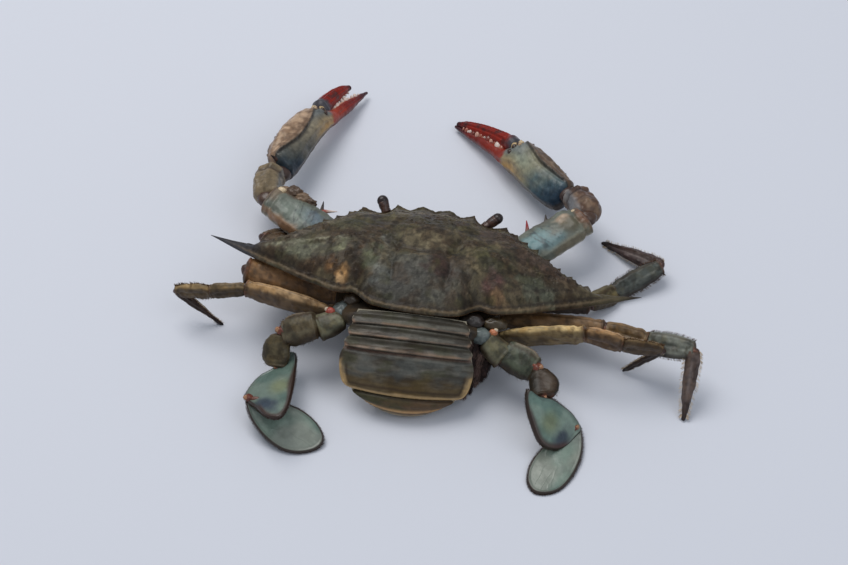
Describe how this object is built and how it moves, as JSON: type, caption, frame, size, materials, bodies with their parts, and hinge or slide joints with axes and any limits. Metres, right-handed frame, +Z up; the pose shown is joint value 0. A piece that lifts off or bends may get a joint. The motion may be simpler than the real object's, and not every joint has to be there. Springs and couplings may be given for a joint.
{
  "type": "blue swimming crab model",
  "caption": "Still life-size model of a female blue swimming crab: wide spined shell, two claws half open, walking legs spread, flat oval swimming paddles, broad abdomen.",
  "frame": {"origin": "the middle of the model's outline, on the floor that it rests on", "axes": "+X the crab's right, +Y forward, +Z up"},
  "size_m": [0.1914, 0.1928, 0.0388],
  "materials": {
    "shell": "hard shell, satin, finely granular, olive brown with tan and orange patches",
    "belly": "hard shell, smooth, ivory white",
    "leg": "hard shell, satin, tan to blue green, dark at the edges",
    "arm": "hard shell, satin, slate blue, turquoise and tan",
    "paddle": "thin hard shell, satin, pale green grey with a dark brown rim",
    "eye": "glossy dark reddish brown",
    "abdomen": "hard shell, satin, grey olive with pale rims",
    "finger": "hard shell, satin, red with a purple tip",
    "hair": "short stiff brown hairs",
    "membrane": "soft joint skin, coral red to orange",
    "tooth": "smooth white shell, slightly glossy"
  },
  "bodies": {
    "root": {"abdomen_1": "abdomen", "abdomen_2": "abdomen", "abdomen_3": "abdomen", "abdomen_4": "abdomen", "abdomen_5": "abdomen", "abdomen_6": "abdomen", "antenna_left": "shell", "antenna_right": "shell", "carapace": "shell", "cheliped_left_arm": "arm", "cheliped_left_base": "belly", "cheliped_left_finger": "finger", "cheliped_left_palm": "arm", "cheliped_left_wrist": "arm", "cheliped_right_arm": "arm", "cheliped_right_base": "belly", "cheliped_right_finger": "finger", "cheliped_right_palm": "arm", "cheliped_right_wrist": "arm", "eye_left": "eye", "eye_right": "eye", "maxilliped_left": "belly", "maxilliped_right": "belly", "pleopods_right": "hair", "swimming_leg_left_carpus": "leg", "swimming_leg_left_dactyl": "paddle", "swimming_leg_left_merus": "leg", "swimming_leg_left_propodus": "paddle", "swimming_leg_right_carpus": "leg", "swimming_leg_right_dactyl": "paddle", "swimming_leg_right_merus": "leg", "swimming_leg_right_propodus": "paddle", "telson": "belly", "thorax": "belly", "walking_leg_1_left_carpus": "leg", "walking_leg_1_left_dactyl": "leg", "walking_leg_1_left_merus": "leg", "walking_leg_1_left_propodus": "leg", "walking_leg_1_right_carpus": "leg", "walking_leg_1_right_dactyl": "leg", "walking_leg_1_right_merus": "leg", "walking_leg_1_right_propodus": "leg", "walking_leg_2_left_carpus": "leg", "walking_leg_2_left_dactyl": "leg", "walking_leg_2_left_merus": "leg", "walking_leg_2_left_propodus": "leg", "walking_leg_2_right_carpus": "leg", "walking_leg_2_right_dactyl": "leg", "walking_leg_2_right_merus": "leg", "walking_leg_2_right_propodus": "leg", "walking_leg_3_left_carpus": "leg", "walking_leg_3_left_dactyl": "leg", "walking_leg_3_left_merus": "leg", "walking_leg_3_left_propodus": "leg", "walking_leg_3_right_carpus": "leg", "walking_leg_3_right_dactyl": "leg", "walking_leg_3_right_merus": "leg", "walking_leg_3_right_propodus": "leg"}
  },
  "joints": []
}
